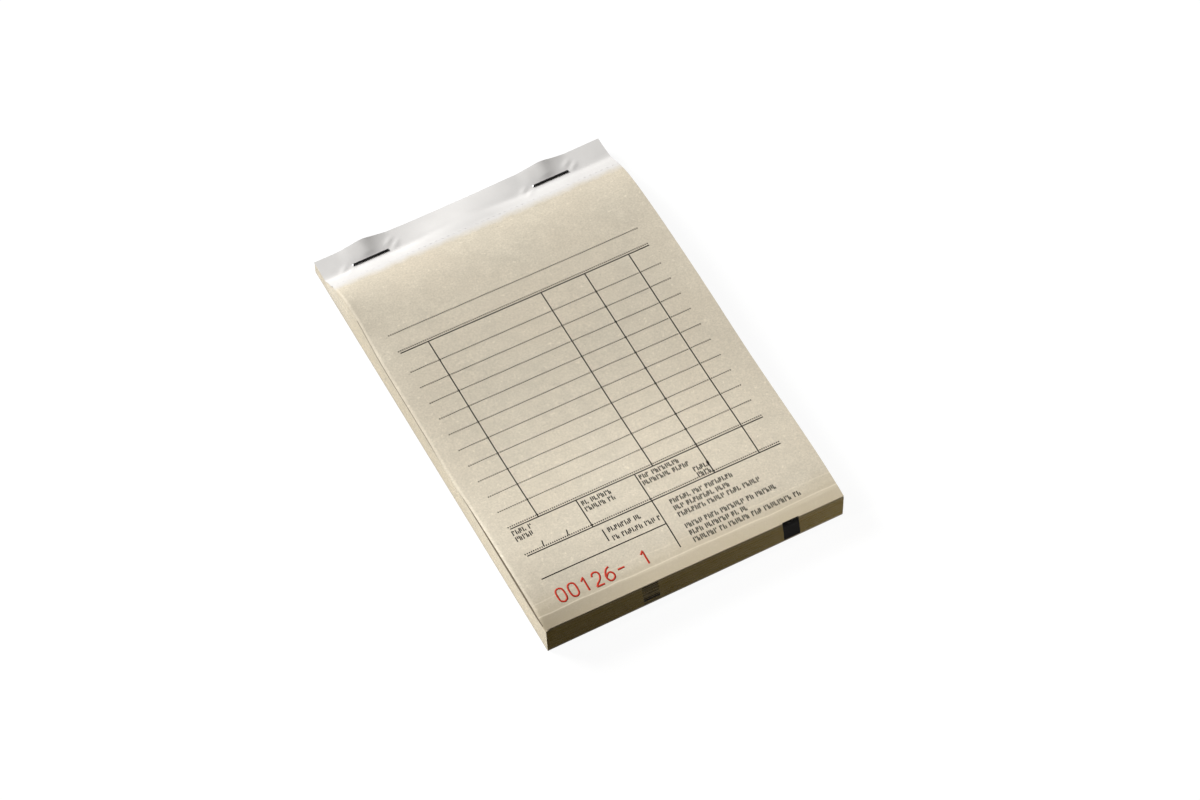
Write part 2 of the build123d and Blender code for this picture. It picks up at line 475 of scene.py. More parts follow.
def sheet_mesh(name, xs, ys, shape, height, thickness, bulge=None, teeth=0.0):
    """A closed thin sheet over a grid of places, drawn in at the head and let out at the left side."""
    across, along = np.meshgrid(xs, ys)
    along[-1, 1::2] -= teeth
    low = height(across, along, shape)
    stands_out = bulge(across, along, shape) if bulge else np.zeros_like(across)
    drawn_in = np.maximum(across / RIGHT_X, 0) * ramp((along - SQUEEZE_Y) / SQUEEZE_LENGTH)
    across = across - shape.head_squeeze * drawn_in
    if thickness:
        across = across - stands_out
    rows, columns = across.shape
    count = rows * columns
    underside = np.stack([across, along, low], -1).reshape(-1, 3)
    upper = np.stack([across, along, low + thickness], -1).reshape(-1, 3)
    index = np.arange(count).reshape(rows, columns)
    corner = [index[:-1, :-1], index[:-1, 1:], index[1:, 1:], index[1:, :-1]]
    quads = np.stack(corner, -1).reshape(-1, 4)
    rim = np.concatenate([index[0, :], index[1:, -1], index[-1, -2::-1], index[-2:0:-1, 0]])
    after = np.roll(rim, -1)
    walls = np.stack([rim, after, after + count, rim + count], -1)
    faces = np.concatenate([quads[:, ::-1], quads + count, walls])
    mesh = bpy.data.meshes.new(name)
    mesh.from_pydata(np.concatenate([underside, upper]).tolist(), [], faces.tolist())
    mark_points(mesh, side=np.repeat([0.0, 1.0], count), bulge=np.tile(stands_out.ravel(), 2))
    if thickness:
        mesh.shade_smooth()
        mesh.set_sharp_from_angle(angle=math.radians(40))
    mesh.update()
    return mesh


def new_object(name, data):
    """An object in the scene, at the origin."""
    made = bpy.data.objects.new(name, data)
    bpy.context.scene.collection.objects.link(made)
    return made


def joined_mesh(name, meshes):
    """One mesh of several, with all their corners and attributes."""
    pieces = [new_object(name, mesh) for mesh in meshes]
    with bpy.context.temp_override(active_object=pieces[0], selected_editable_objects=pieces):
        bpy.ops.object.join()
    mesh = pieces[0].data
    bpy.data.objects.remove(pieces[0])
    return mesh


def dress(mesh, material):
    """Gives a mesh one material."""
    mesh.materials.clear()
    mesh.materials.append(material)


def new_piece(name, mesh, material):
    """A piece of the pad at the origin, with one material."""
    dress(mesh, material)
    return new_object(name, mesh)


def drape(piece, height, shape):
    """Lays flat ink on a sheet: each point keeps its own height above the paper."""
    places = np.empty(len(piece.data.vertices) * 3)
    piece.data.vertices.foreach_get("co", places)
    places = places.reshape(-1, 3)
    places[:, 2] += height(places[:, 0], places[:, 1], shape) + PAPER + INK_HEIGHT
    piece.data.vertices.foreach_set("co", places.ravel())
    piece.data.update()


# Node trees

def socket_named(sockets, name):
    """The shown socket with this name or number."""
    if isinstance(name, int):
        return sockets[name]
    return next(socket for socket in sockets if socket.name == name and socket.enabled)


def result(node, name=0):
    """The shown output of a node with this name or number."""
    return socket_named(node.outputs, name)


class Nodes:
    """A node tree, with short ways to add to it."""

    def __init__(self, tree):
        self.tree = tree

    def give(self, socket, value):
        """Gives an input a value or a link."""
        if isinstance(value, bpy.types.NodeSocket):
            self.tree.links.new(value, socket)
        else:
            socket.default_value = value

    def add(self, kind, inputs=None, **settings):
        """Adds a node with its settings and inputs."""
        made = self.tree.nodes.new(kind)
        for name, value in settings.items():
            setattr(made, name, value)
        for name, value in (inputs or {}).items():
            self.give(socket_named(made.inputs, name), value)
        return made

    def out(self, kind, inputs=None, name=0, **settings):
        """Adds a node and gives one of its outputs."""
        return result(self.add(kind, inputs, **settings), name)

    def calc(self, operation, first, second=0.0):
        """The result of a math node on two numbers."""
        return self.out("ShaderNodeMath", {0: first, 1: second}, operation=operation)

    def plus(self, first, second):
        """The sum of two numbers."""
        return self.calc("ADD", first, second)

    def minus(self, first, second):
        """The difference of two numbers."""
        return self.calc("SUBTRACT", first, second)

    def times(self, first, second):
        """The product of two numbers."""
        return self.calc("MULTIPLY", first, second)

    def attribute(self, name):
        """A number stored on the points of a mesh."""
        return self.out("GeometryNodeInputNamedAttribute", {"Name": name}, "Attribute", data_type="FLOAT")

    def seen_directly(self):
        """1 where the camera sees this, straight or mirrored, and 0 where it only sends light on."""
        path = self.add("ShaderNodeLightPath")
        seen = self.calc("MAXIMUM", result(path, "Is Camera Ray"), result(path, "Is Glossy Ray"))
        return self.calc("MAXIMUM", seen, result(path, "Is Transmission Ray"))


def new_tree(name, inputs):
    """A node tree for meshes with named inputs, given as name and socket kind."""
    tree = bpy.data.node_groups.new(name, "GeometryNodeTree")
    tree.interface.new_socket("Geometry", in_out="INPUT", socket_type="NodeSocketGeometry")
    for label, kind in inputs.items():
        tree.interface.new_socket(label, in_out="INPUT", socket_type=f"NodeSocket{kind}")
    tree.interface.new_socket("Geometry", in_out="OUTPUT", socket_type="NodeSocketGeometry")
    return Nodes(tree), tree.nodes.new("NodeGroupInput").outputs


def end_tree(nodes, geometry, material):
    """Ends a tree: instances made real, then the material."""
    real = nodes.out("GeometryNodeRealizeInstances", {"Geometry": geometry})
    dressed = nodes.out("GeometryNodeSetMaterial", {"Geometry": real, "Material": material})
    nodes.add("NodeGroupOutput", {"Geometry": dressed})
    return nodes.tree


def grow(name, base, tree, values):
    """Runs a tree on a base mesh and keeps the result as a piece with a plain mesh."""
    piece = new_object(name, base)
    modifier = piece.modifiers.new(tree.name, "NODES")
    modifier.node_group = tree
    for item in tree.interface.items_tree:
        if item.in_out == "INPUT" and item.name in values:
            modifier[item.identifier] = values[item.name]
    seen = piece.evaluated_get(bpy.context.evaluated_depsgraph_get())
    grown = bpy.data.meshes.new_from_object(seen)
    piece.modifiers.remove(modifier)
    piece.data = grown
    grown.name = name
    if not grown.polygons:
        raise RuntimeError(f"{name} came out empty")
    return piece


def stacking_tree():
    """Stacks copies of one sheet, level by level: each takes its share of the pile's height."""
    nodes, given = new_tree("stacked_sheets", {
        "Count": "Int", "Level Step": "Float", "Top Level": "Float", "Base Height": "Float",
        "Fill": "Float", "Edge Shift": "Float", "Lean": "Float", "Presence": "Float", "Seed": "Int",
        "Material": "Material"})
    line = nodes.out("GeometryNodeMeshLine", {"Count": given["Count"], "Offset": (0, 0, 0)})
    level = nodes.times(nodes.out("GeometryNodeInputIndex"), given["Level Step"])
    marked = nodes.out("GeometryNodeStoreNamedAttribute", {
        "Geometry": line, "Name": "level", "Value": level}, data_type="FLOAT", domain="POINT")
    most = nodes.out("ShaderNodeCombineXYZ", {"X": given["Edge Shift"], "Y": given["Edge Shift"]})
    least = nodes.out("ShaderNodeVectorMath", {0: most, "Scale": -1.0}, operation="SCALE")
    shift = nodes.out("FunctionNodeRandomValue", {
        "Min": least, "Max": most, "ID": level, "Seed": given["Seed"]}, "Value", data_type="FLOAT_VECTOR")
    moved = nodes.out("GeometryNodeSetPosition", {"Geometry": marked, "Offset": shift})
    present = nodes.out("FunctionNodeRandomValue", {
        "Probability": given["Presence"], "ID": level, "Seed": given["Seed"]}, "Value", data_type="BOOLEAN")
    copies = nodes.out("GeometryNodeInstanceOnPoints", {
        "Points": moved, "Selection": present, "Instance": given["Geometry"]})
    real = nodes.out("GeometryNodeRealizeInstances", {"Geometry": copies})
    stored = nodes.attribute("level")
    place = nodes.add("ShaderNodeSeparateXYZ", {0: nodes.out("GeometryNodeInputPosition")})
    filled = nodes.plus(stored, nodes.times(nodes.attribute("side"), given["Fill"]))
    share = nodes.calc("DIVIDE", filled, given["Top Level"])
    above = nodes.times(nodes.minus(result(place, "Z"), given["Base Height"]), share)
    under_top = nodes.minus(1.0, nodes.calc("DIVIDE", stored, given["Top Level"]))
    let_out = nodes.minus(result(place, "X"), nodes.times(nodes.attribute("bulge"), share))
    leant = nodes.plus(let_out, nodes.times(given["Lean"], under_top))
    lowered = nodes.out("ShaderNodeCombineXYZ", {
        "X": leant, "Y": result(place, "Y"), "Z": nodes.plus(above, given["Base Height"])})
    stacked = nodes.out("GeometryNodeSetPosition", {"Geometry": real, "Position": lowered})
    return end_tree(nodes, stacked, given["Material"])


def stack(name, base, tree, shape, material, count, step=1.0, lean=0.0, presence=1.0):
    """A piece of many copies of a base sheet, stacked up the pile."""
    return grow(name, base, tree, {
        "Count": count, "Level Step": step, "Top Level": float(TOP_LEVEL), "Base Height": PILE_BASE,
        "Fill": shape.sheet_fill, "Edge Shift": shape.edge_shift, "Lean": lean, "Presence": presence,
        "Seed": PILE_SEED, "Material": material})


def printing_tree():
    """Prints lines: dotted ones as rows of dots, the others as flat strokes of their own width."""
    nodes, given = new_tree("printed_lines", {
        "Dot Pitch": "Float", "Dot Size": "Float", "Ink Height": "Float", "Material": "Material"})
    is_dotted = nodes.calc("GREATER_THAN", nodes.attribute("dotted"), 0.5)
    split = nodes.add("GeometryNodeSeparateGeometry", {
        "Geometry": given["Geometry"], "Selection": is_dotted}, domain="POINT")
    rows = nodes.out("GeometryNodeMeshToCurve", {"Mesh": result(split, "Selection")})
    even = nodes.out("GeometryNodeResampleCurve", {
        "Curve": rows, "Length": given["Dot Pitch"]}, mode="LENGTH")
    dot = nodes.out("GeometryNodeMeshCylinder", {
        "Vertices": 6, "Radius": nodes.times(given["Dot Size"], 0.5), "Depth": given["Ink Height"]}, "Mesh")
    dots = nodes.out("GeometryNodeInstanceOnPoints", {
        "Points": even, "Instance": dot, "Scale": (1.0, 1.25, 1.0)})
    lines = nodes.out("GeometryNodeMeshToCurve", {"Mesh": result(split, "Inverted")})
    level = nodes.out("GeometryNodeSetCurveNormal", {"Curve": lines}, mode="Z_UP")
    flat = nodes.out("GeometryNodeCurvePrimitiveQuadrilateral", {"Width": 1.0, "Height": 0.045})
    strokes = nodes.out("GeometryNodeCurveToMesh", {
        "Curve": level, "Profile Curve": flat, "Scale": nodes.attribute("width"), "Fill Caps": True})
    both = nodes.add("GeometryNodeJoinGeometry")
    for printed in (strokes, dots):
        nodes.give(both.inputs[0], printed)
    return end_tree(nodes, result(both), given["Material"])


# Materials

def shaded(tint, factor=1.0):
    """A colour made darker or lighter, with full alpha."""
    return (*(min(1.0, part * factor) for part in tint), 1.0)


def tinted(tint, *factors):
    """A colour with each part made darker or lighter on its own, with full alpha."""
    return (*(part * factor for part, factor in zip(tint, factors)), 1.0)


class Surface(Nodes):
    """A material's node tree. Its place is in millimetres, and so are the sizes of its spots."""

    def __init__(self, name):
        self.material = bpy.data.materials.new(name)
        self.material.use_nodes = True
        super().__init__(self.material.node_tree)
        self.shader = self.tree.nodes["Principled BSDF"]
        self.given = self.add("ShaderNodeTexCoord")
        self.place = self.out(
            "ShaderNodeVectorMath", {0: result(self.given, "Object"), "Scale": 1 / MM}, operation="SCALE")

    def parts(self, vector):
        """The three parts of a place or a direction."""
        return self.add("ShaderNodeSeparateXYZ", {0: vector}).outputs

    def facing(self):
        """The three parts of the direction that the surface faces."""
        return self.parts(result(self.given, "Normal"))

    def stretched(self, *factors):
        """The place, stretched or squeezed along each axis."""
        return self.out("ShaderNodeVectorMath", {0: self.place, 1: factors}, operation="MULTIPLY")

    def noise(self, size, detail=2.0, rough=0.5, place=None):
        """Soft noise with spots of about this size."""
        return self.out("ShaderNodeTexNoise", {
            "Vector": place or self.place, "Scale": 1.0 / size, "Detail": detail, "Roughness": rough})

    def between(self, value, low, high):
        """A number as its share of the way from low to high, from 0 to 1."""
        return self.out("ShaderNodeMapRange", {"Value": value, "From Min": low, "From Max": high})

    def mixed(self, factor, first, second, blend="MIX"):
        """A colour mixed from two."""
        return self.out(
            "ShaderNodeMix", {0: factor, 6: first, 7: second}, 2, data_type="RGBA", blend_type=blend)

    def shades(self, factor, tint, low, high):
        """A colour between a darker and a lighter shade of a tint."""
        return self.mixed(factor, shaded(tint, low), shaded(tint, high))

    def touched(self, mask, strength, tone, second):
        """A colour with a little of a second one, where the mask says."""
        return self.mixed(self.times(mask, strength), tone, second)

    def paper(self, tint):
        """Uncoated paper: broad clouds, fine grain, and a few pale and dark fibres."""
        clouds = self.between(self.noise(5.5, 5.0, 0.62), 0.33, 0.67)
        warm = self.between(self.noise(23.0, 3.0), 0.35, 0.7)
        grain = self.between(self.noise(0.55, 4.0, 0.65), 0.28, 0.72)
        specks = self.between(self.noise(0.9, 2.0, 0.7), 0.68, 0.74)
        pale = self.between(self.noise(1.6, 3.0, 0.7), 0.62, 0.72)
        flock = self.between(self.noise(1.7, 4.0, 0.6), 0.3, 0.7)
        tone = self.shades(clouds, tint, 0.92, 1.07)
        tone = self.mixed(flock, self.mixed(1.0, tone, (0.93, 0.93, 0.93, 1), "MULTIPLY"), tone)
        tone = self.touched(warm, 0.5, tone, tinted(tint, 1.01, 0.97, 0.94))
        tone = self.touched(grain, 0.75, tone, shaded(tint, 0.66))
        tone = self.touched(specks, 0.5, tone, shaded(tint, 0.45))
        tone = self.touched(pale, 0.55, tone, shaded(tint, 1.2))
        return tone, grain, clouds

    def finish(self, tone, rough, gloss=None, relief=None):
        """Gives the shader its colour, roughness as value, gain and base, gloss, and fine relief."""
        value, gain, base = rough
        self.give(self.shader.inputs["Base Color"], tone)
        self.give(self.shader.inputs["Roughness"], self.plus(self.times(value, gain), base))
        if gloss is not None:
            self.give(self.shader.inputs["Specular IOR Level"], gloss)
        if relief:
            height, strength, depth = relief
            made = self.out("ShaderNodeBump", {"Strength": strength, "Distance": depth, "Height": height})
            self.give(self.shader.inputs["Normal"], made)
        return self.material

    def finish_paper(self, tone, grain, clouds, gloss):
        """The matt finish of uncoated paper, with a fine tooth."""
        tooth = self.plus(grain, self.times(clouds, 0.6))
        return self.finish(tone, (grain, 0.15, 0.78), gloss, (tooth, 0.35, 0.03 * MM))


def leaf_material(paper):
    """Cream receipt paper for the leaves, with painted highlight where the leaf rises to the tear line,
    painted shade towards the foot and in the left foot corner, and painted highlight lines along the foot
    creases.
    """
    look = Surface("receipt_leaf_paper")
    tone, grain, clouds = look.paper(paper.leaf_colour)
    across, along, _ = look.parts(look.place)
    left_x, tear_y, foot_y = LEFT_X / MM, TEAR_Y / MM, FOOT_Y / MM
    # Painted highlight: the leaf turns white where it rises towards the tear line, as if lit there.
    ragged = look.plus(along, look.times(look.noise(4.0, 4.0, 0.6), 3.0))
    tear_line_highlight = look.between(ragged, tear_y - 1.8, tear_y + 1.0)
    tone = look.mixed(tear_line_highlight, tone, shaded(paper.strip_colour))
    # Painted shade: the leaf turns darker and browner towards the foot.
    painted_foot_shade = look.between(look.plus(along, look.times(clouds, 2.0)), foot_y + 12, foot_y + 1)
    tone = look.mixed(painted_foot_shade, tone, tinted(paper.leaf_colour, 0.82, 0.78, 0.70))
    # Painted shade: the leaf darkens in the left foot corner.
    corner = look.times(look.between(across, left_x + 35, left_x), look.between(along, foot_y + 27, foot_y))
    tone = look.mixed(corner, tone, look.mixed(1.0, tone, (0.75, 0.74, 0.72, 1), "MULTIPLY"))
    # Painted highlight: two pale lines across the leaf near the foot stand for light on creases.
    crease_highlight_place = look.plus(along, look.times(look.noise(14.0), 1.6))
    for height, strength in ((5.2, 0.30), (9.6, 0.16)):
        off = look.calc("ABSOLUTE", look.minus(crease_highlight_place, foot_y + height))
        tone = look.touched(look.between(off, 0.3, 0.1), strength, tone, shaded(paper.leaf_colour, 1.35))
    flat = look.between(look.calc("ABSOLUTE", look.facing()["Z"]), 0.2, 0.6)
    tone = look.mixed(flat, shaded(paper.edge_colour), tone)
    return look.finish_paper(tone, grain, clouds, 0.25)


def pile_material(paper):
    """Cream paper of the pile: a shade for each sheet, painted shade on the foot edges, and painted
    highlight on the edges near the head.
    """
    look = Surface("receipt_pile_paper")
    tone, grain, clouds = look.paper(paper.leaf_colour)
    facing = look.facing()
    level = look.out("ShaderNodeAttribute", name="Fac", attribute_name="level")
    sheet = look.out("ShaderNodeTexWhiteNoise", {"W": level}, "Value", noise_dimensions="1D")
    # Painted highlight: the cut edges turn paler and whiter towards the head.
    head_edge_highlight = look.between(look.parts(look.place)["Y"], 48.0, 66.0)
    edge = look.touched(head_edge_highlight, 0.75, shaded(paper.edge_colour), shaded(paper.strip_colour, 1.08))
    edge = look.touched(sheet, 0.5, edge, shaded(paper.edge_colour, 0.8))
    # Painted shade: faces turned towards the foot take the dark foot shade colour.
    foot = look.between(facing["Y"], -0.5, -0.8)
    edge = look.mixed(foot, edge, look.shades(sheet, paper.foot_edge_shade_colour, 0.8, 1.15))
    flat = look.between(look.calc("ABSOLUTE", facing["Z"]), 0.2, 0.6)
    return look.finish_paper(look.mixed(flat, edge, tone), grain, clouds, 0.05)


def strip_material(paper):
    """Smooth cool white paper with faint clouds."""
    look = Surface("head_strip_paper")
    clouds = look.between(look.noise(7.0, 4.0), 0.3, 0.7)
    grain = look.noise(0.35, 4.0, 0.6)
    tone = look.shades(clouds, paper.strip_colour, 0.97, 1.03)
    tone = look.touched(grain, 0.10, tone, shaded(paper.strip_colour, 0.75))
    return look.finish(tone, (grain, 0.2, 0.5), 0.35, (grain, 0.2, 0.02 * MM))


def carbon_material(paper):
    """Waxy carbon paper with worn, paler streaks and a bare brown left margin, whose colour stands in as
    painted shade in the gap under the top leaf.
    """
    look = Surface("carbon_wax_paper")
    worn = look.between(look.noise(14.0, 5.0, 0.65), 0.45, 0.75)
    grain = look.noise(0.5, 3.0)
    # The bare margin's brown also serves as painted shade in the gap under the top leaf.
    margin = CARBON_LOW.x / MM
    ragged = look.plus(look.parts(look.place)["X"], look.times(grain, 0.5))
    coated = look.between(ragged, margin + 2.2, margin + 2.8)
    bare = look.shades(grain, paper.margin_shade_colour, 0.8, 1.3)
    tone = look.mixed(coated, bare, look.shades(worn, paper.carbon_colour, 1.0, 2.4))
    return look.finish(tone, (worn, 0.25, 0.38), relief=(grain, 0.2, 0.02 * MM))


def card_material(paper):
    """Grey cream card with pressed fibres."""
    look = Surface("back_card_board")
    clouds = look.between(look.noise(12.0, 5.0, 0.6), 0.3, 0.7)
    fibres = look.noise(0.6, 4.0, 0.7, look.stretched(1.0, 0.22, 1.0))
    tone = look.shades(clouds, paper.card_colour, 0.93, 1.06)
    tone = look.mixed(look.between(fibres, 0.58, 0.72), tone, shaded(paper.card_colour, 0.6))
    return look.finish(tone, (fibres, 0.15, 0.8), 0.2, (fibres, 0.4, 0.05 * MM))


def wire_material(paper):
    """Steel wire whose near-black colour is painted shade for the dark reflections on the crown, with a
    painted highlight at the bends of the crown.
    """
    look = Surface("staple_dark_wire")
    across, _, height = look.parts(look.place)
    streaks = look.noise(0.5, 3.0, place=look.stretched(0.12, 3.0, 3.0))
    half_crown, crown_top = HALF_CROWN / MM, CROWN_TOP / MM
    bends = 0.0
    for staple_x in STAPLE_XS:
        from_middle = look.calc("ABSOLUTE", look.minus(across, staple_x / MM))
        at_end = look.between(from_middle, half_crown - 0.32, half_crown - 0.12)
        on_this = look.calc("LESS_THAN", from_middle, half_crown + 1.0)
        bends = look.calc("MAXIMUM", bends, look.times(at_end, on_this))
    # Painted highlight: the bends of the crown turn bright as if catching the light.
    bend_highlight = look.times(bends, look.between(height, crown_top - 0.75, crown_top - 0.35))
    tone = look.mixed(bend_highlight, look.shades(streaks, paper.wire_shade_colour, 0.7, 1.5), (0.80, 0.80, 0.81, 1))
    look.give(look.shader.inputs["Metallic"], 1.0)
    return look.finish(tone, (streaks, 0.25, 0.22), relief=(streaks, 0.15, 0.02 * MM))


def ink_material(name, ink_colour, paper_colour, cover):
    """Printing ink that lets a little of the paper through in spots."""
    look = Surface(name)
    thin = look.between(look.noise(0.35, 4.0, 0.7), cover, cover + 0.25)
    tone = look.mixed(thin, shaded(ink_colour), shaded(paper_colour, 0.5))
    return look.finish(tone, (thin, 0.2, 0.6), 0.1)


# The printed form: places from the middle of the pad, to the right and towards the head

FORM_LEFT, FORM_RIGHT = -44.0 * MM, 41.8 * MM
RULE_INSET = 0.25 * MM
HEADER_Y = 37.65 * MM
TABLE_TOP_Y = 31.05 * MM
FIRST_ROW_Y = 22.65 * MM
DOUBLE_GAP = 0.8 * MM
TOTALS_HEIGHT = 10.9 * MM
COLUMN_LEFT, COLUMN_UNIT, COLUMN_PRICE, COLUMN_SUM = -34.3 * MM, 4.4 * MM, 19.5 * MM, 34.8 * MM
SELLER_X, AMOUNT_X = -21.7 * MM, -1.9 * MM
FOOTER_Y = -61.6 * MM
FOOTER_END_Y = -70.6 * MM
TITLE_MARK_X = -19.8 * MM
TITLE_MARK_TOP, TITLE_MARK_END = 2.9 * MM, 7.4 * MM
DATE_TICKS = (-37.6 * MM, -29.4 * MM)
CAP_HEIGHT = 1.75 * MM
LETTER_PITCH = 1.15 * MM
STROKE_STEP = 0.6 * MM
WORD_LENGTHS = (4, 7, 2, 6, 3, 8, 5)

# Left end, middle height and length of each line of words
WORD_LINES = [
    (-43.8, -43.4, 6.5), (-43.8, -45.8, 5.2),
    (-20.6, -43.6, 9.0), (-20.6, -46.0, 9.2),
    (-1.0, -43.4, 13.8), (-1.0, -45.8, 14.8),
    (14.6, -48.6, 4.6), (14.8, -50.8, 3.8),
    (-18.2, -55.6, 11.2), (-18.2, -58.8, 15.6),
    (2.9, -55.4, 20.8), (2.9, -58.0, 18.2), (2.9, -60.6, 27.2),
    (2.9, -65.0, 31.6), (2.9, -67.6, 19.4), (2.9, -70.2, 35.2),
]

# Digits on a box one wide and one high, as points that a smooth line runs through, and as corners
ROUND_DIGITS = {
    "0": [(0.0, 0.5), (0.34, 0.4), (0.46, 0.18), (0.46, -0.18), (0.34, -0.4), (0.0, -0.5), (-0.34, -0.4),
          (-0.46, -0.18), (-0.46, 0.18), (-0.34, 0.4), (0.0, 0.5)],
    "2": [(-0.44, 0.25), (-0.3, 0.44), (0.02, 0.5), (0.36, 0.4), (0.42, 0.14), (0.2, -0.12), (-0.2, -0.32),
          (-0.46, -0.5)],
    "3": [(-0.42, 0.38), (-0.1, 0.5), (0.3, 0.42), (0.36, 0.2), (0.1, 0.04), (0.38, -0.1), (0.44, -0.3),
          (0.1, -0.5), (-0.44, -0.36)],
    "6": [(0.3, 0.46), (-0.08, 0.36), (-0.4, 0.06), (-0.47, -0.24), (-0.26, -0.47), (0.06, -0.5),
          (0.4, -0.36), (0.44, -0.12), (0.2, 0.06), (-0.14, 0.04), (-0.42, -0.16)],
    "8": [(0.0, 0.04), (-0.36, 0.2), (-0.3, 0.44), (0.0, 0.5), (0.3, 0.44), (0.36, 0.2), (0.0, 0.04),
          (-0.44, -0.16), (-0.36, -0.44), (0.0, -0.5), (0.36, -0.44), (0.44, -0.16), (0.0, 0.04)],
    "9": [(0.42, 0.16), (0.14, -0.04), (-0.2, -0.06), (-0.44, 0.12), (-0.4, 0.36), (-0.06, 0.5),
          (0.26, 0.47), (0.47, 0.24), (0.4, -0.06), (0.08, -0.36), (-0.3, -0.46)],
}
STRAIGHT_DIGITS = {
    "1": [(-0.26, 0.26), (0.1, 0.5), (0.1, -0.5)],
    "2": [(-0.46, -0.5), (0.48, -0.5)],
    "4": [(0.2, -0.5), (0.2, 0.5), (-0.48, -0.18), (0.48, -0.18)],
    "5": [(0.4, 0.5), (-0.32, 0.5), (-0.4, 0.08), (0.12, 0.14), (0.44, -0.12), (0.36, -0.4), (0.0, -0.5),
          (-0.44, -0.4)],
    "7": [(-0.46, 0.5), (0.48, 0.5), (-0.12, -0.5)],
    "-": [(-0.42, 0.0), (0.42, 0.0)],
}
DIGIT_WIDTH = 0.58
DIGIT_PITCH = 0.85
NUMBER_X = -41.0 * MM
NUMBER_Y = -68.9 * MM


def rounded(points, steps=5):
    """A smooth line through these points."""
    points = np.array(points)
    ends = np.concatenate([2 * points[:1] - points[1:2], points, 2 * points[-1:] - points[-2:-1]])
    share = np.linspace(0, 1, steps, endpoint=False)[:, None]
    runs = []
    for before, start, stop, after in zip(ends, ends[1:], ends[2:], ends[3:]):
        bend = 2 * before - 5 * start + 4 * stop - after
        twist = -before + 3 * start - 3 * stop + after
        runs.append(0.5 * (2 * start + (stop - before) * share + bend * share**2 + twist * share**3))
    return np.concatenate([*runs, points[-1:]])


def straight(*points, step=1.5 * MM):
    """Points along straight lines from corner to corner, close enough to lie on the paper."""
    points = np.array(points)
    lengths = np.linalg.norm(np.diff(points, axis=0), axis=1)
    along = np.concatenate([[0.0], np.cumsum(lengths)])
    places = joined(along, spaced(0.0, along[-1], step))
    return np.stack([np.interp(places, along, points[:, axis]) for axis in (0, 1)], -1)


def form_lines(printing):
    """Dotted and solid lines of the form: rows, rules, columns and boxes."""
    rows = [FIRST_ROW_Y - number * printing.row_pitch for number in range(printing.row_count + 1)]
    closing_y = rows[-1]
    totals_y = closing_y - TOTALS_HEIGHT
    table_y = TABLE_TOP_Y - DOUBLE_GAP
    dotted = [((FORM_LEFT, y), (FORM_RIGHT, y)) for y in (HEADER_Y, TABLE_TOP_Y, *rows, totals_y)]
    solid = [((FORM_LEFT + RULE_INSET, y - DOUBLE_GAP), (FORM_RIGHT + RULE_INSET, y - DOUBLE_GAP))
             for y in (TABLE_TOP_Y, closing_y, totals_y)]
    uprights = (
        (COLUMN_LEFT, table_y, closing_y - DOUBLE_GAP), (COLUMN_UNIT, table_y, closing_y - DOUBLE_GAP),
        (COLUMN_PRICE, table_y, totals_y - DOUBLE_GAP), (COLUMN_SUM, table_y, totals_y - DOUBLE_GAP),
        (SELLER_X, closing_y - DOUBLE_GAP, totals_y - DOUBLE_GAP),
        (AMOUNT_X, closing_y - DOUBLE_GAP, FOOTER_END_Y),
        (TITLE_MARK_X, totals_y - TITLE_MARK_TOP, totals_y - TITLE_MARK_END))
    solid += [((x, top), (x, end)) for x, top, end in uprights]
    solid.append(((FORM_LEFT + RULE_INSET, FOOTER_Y), (AMOUNT_X, FOOTER_Y)))
    for x in DATE_TICKS:
        solid.append(((x - 0.15 * MM, totals_y + 0.1 * MM), (x + 0.25 * MM, totals_y + 2.1 * MM)))
    return dotted, solid


def word_strokes():
    """Pairs of upright strokes, a tall and a short one, in lines that stand for the form's words."""
    strokes = []
    for line, (left, middle, line_length) in enumerate(WORD_LINES):
        start, stop = left * MM, (left + line_length) * MM
        word, letter = line, 0
        while start < stop:
            base, top = (middle * MM + side * CAP_HEIGHT / 2 for side in (-1, 1))
            strokes.append(((start, base), (start, top)))
            half = base + CAP_HEIGHT * (0.35 + 0.2 * ((letter + line) % 3))
            inner = start + LETTER_PITCH * (0.4 + 0.12 * ((letter + word) % 2))
            low, high = (base, half) if letter % 2 else (top - half + base, top)
            strokes.append(((inner, low), (inner, high)))
            start += LETTER_PITCH
            letter += 1
            if letter == WORD_LENGTHS[word % len(WORD_LENGTHS)]:
                start += LETTER_PITCH * 0.7
                word, letter = word + 1, 0
    return strokes


def number_strokes(text, printing):
    """Strokes of the running number, such as 00126- 1."""
    strokes = []
    size = np.array((DIGIT_WIDTH, 1.0)) * printing.number_height
    for place, sign in enumerate(text):
        middle = np.array((NUMBER_X + place * DIGIT_PITCH * printing.number_height, NUMBER_Y))
        if sign in ROUND_DIGITS:
            strokes.append(rounded(ROUND_DIGITS[sign]) * size + middle)
        if sign in STRAIGHT_DIGITS:
            strokes.append(straight(*(np.array(STRAIGHT_DIGITS[sign]) * size + middle), step=STROKE_STEP))
    return strokes


def line_mesh(name, runs):
    """A mesh of edges along runs of points, given as points, width and whether the line is dotted."""
    points, edges, widths, dots = [], [], [], []
    for run, width, dotted in runs:
        first = len(points)
        points += [(x, y, 0.0) for x, y in run]
        edges += [(first + step, first + step + 1) for step in range(len(run) - 1)]
        widths += [width] * len(run)
        dots += [float(dotted)] * len(run)
    mesh = bpy.data.meshes.new(name)
    mesh.from_pydata(points, edges, [])
    mark_points(mesh, width=widths, dotted=dots)
    return mesh


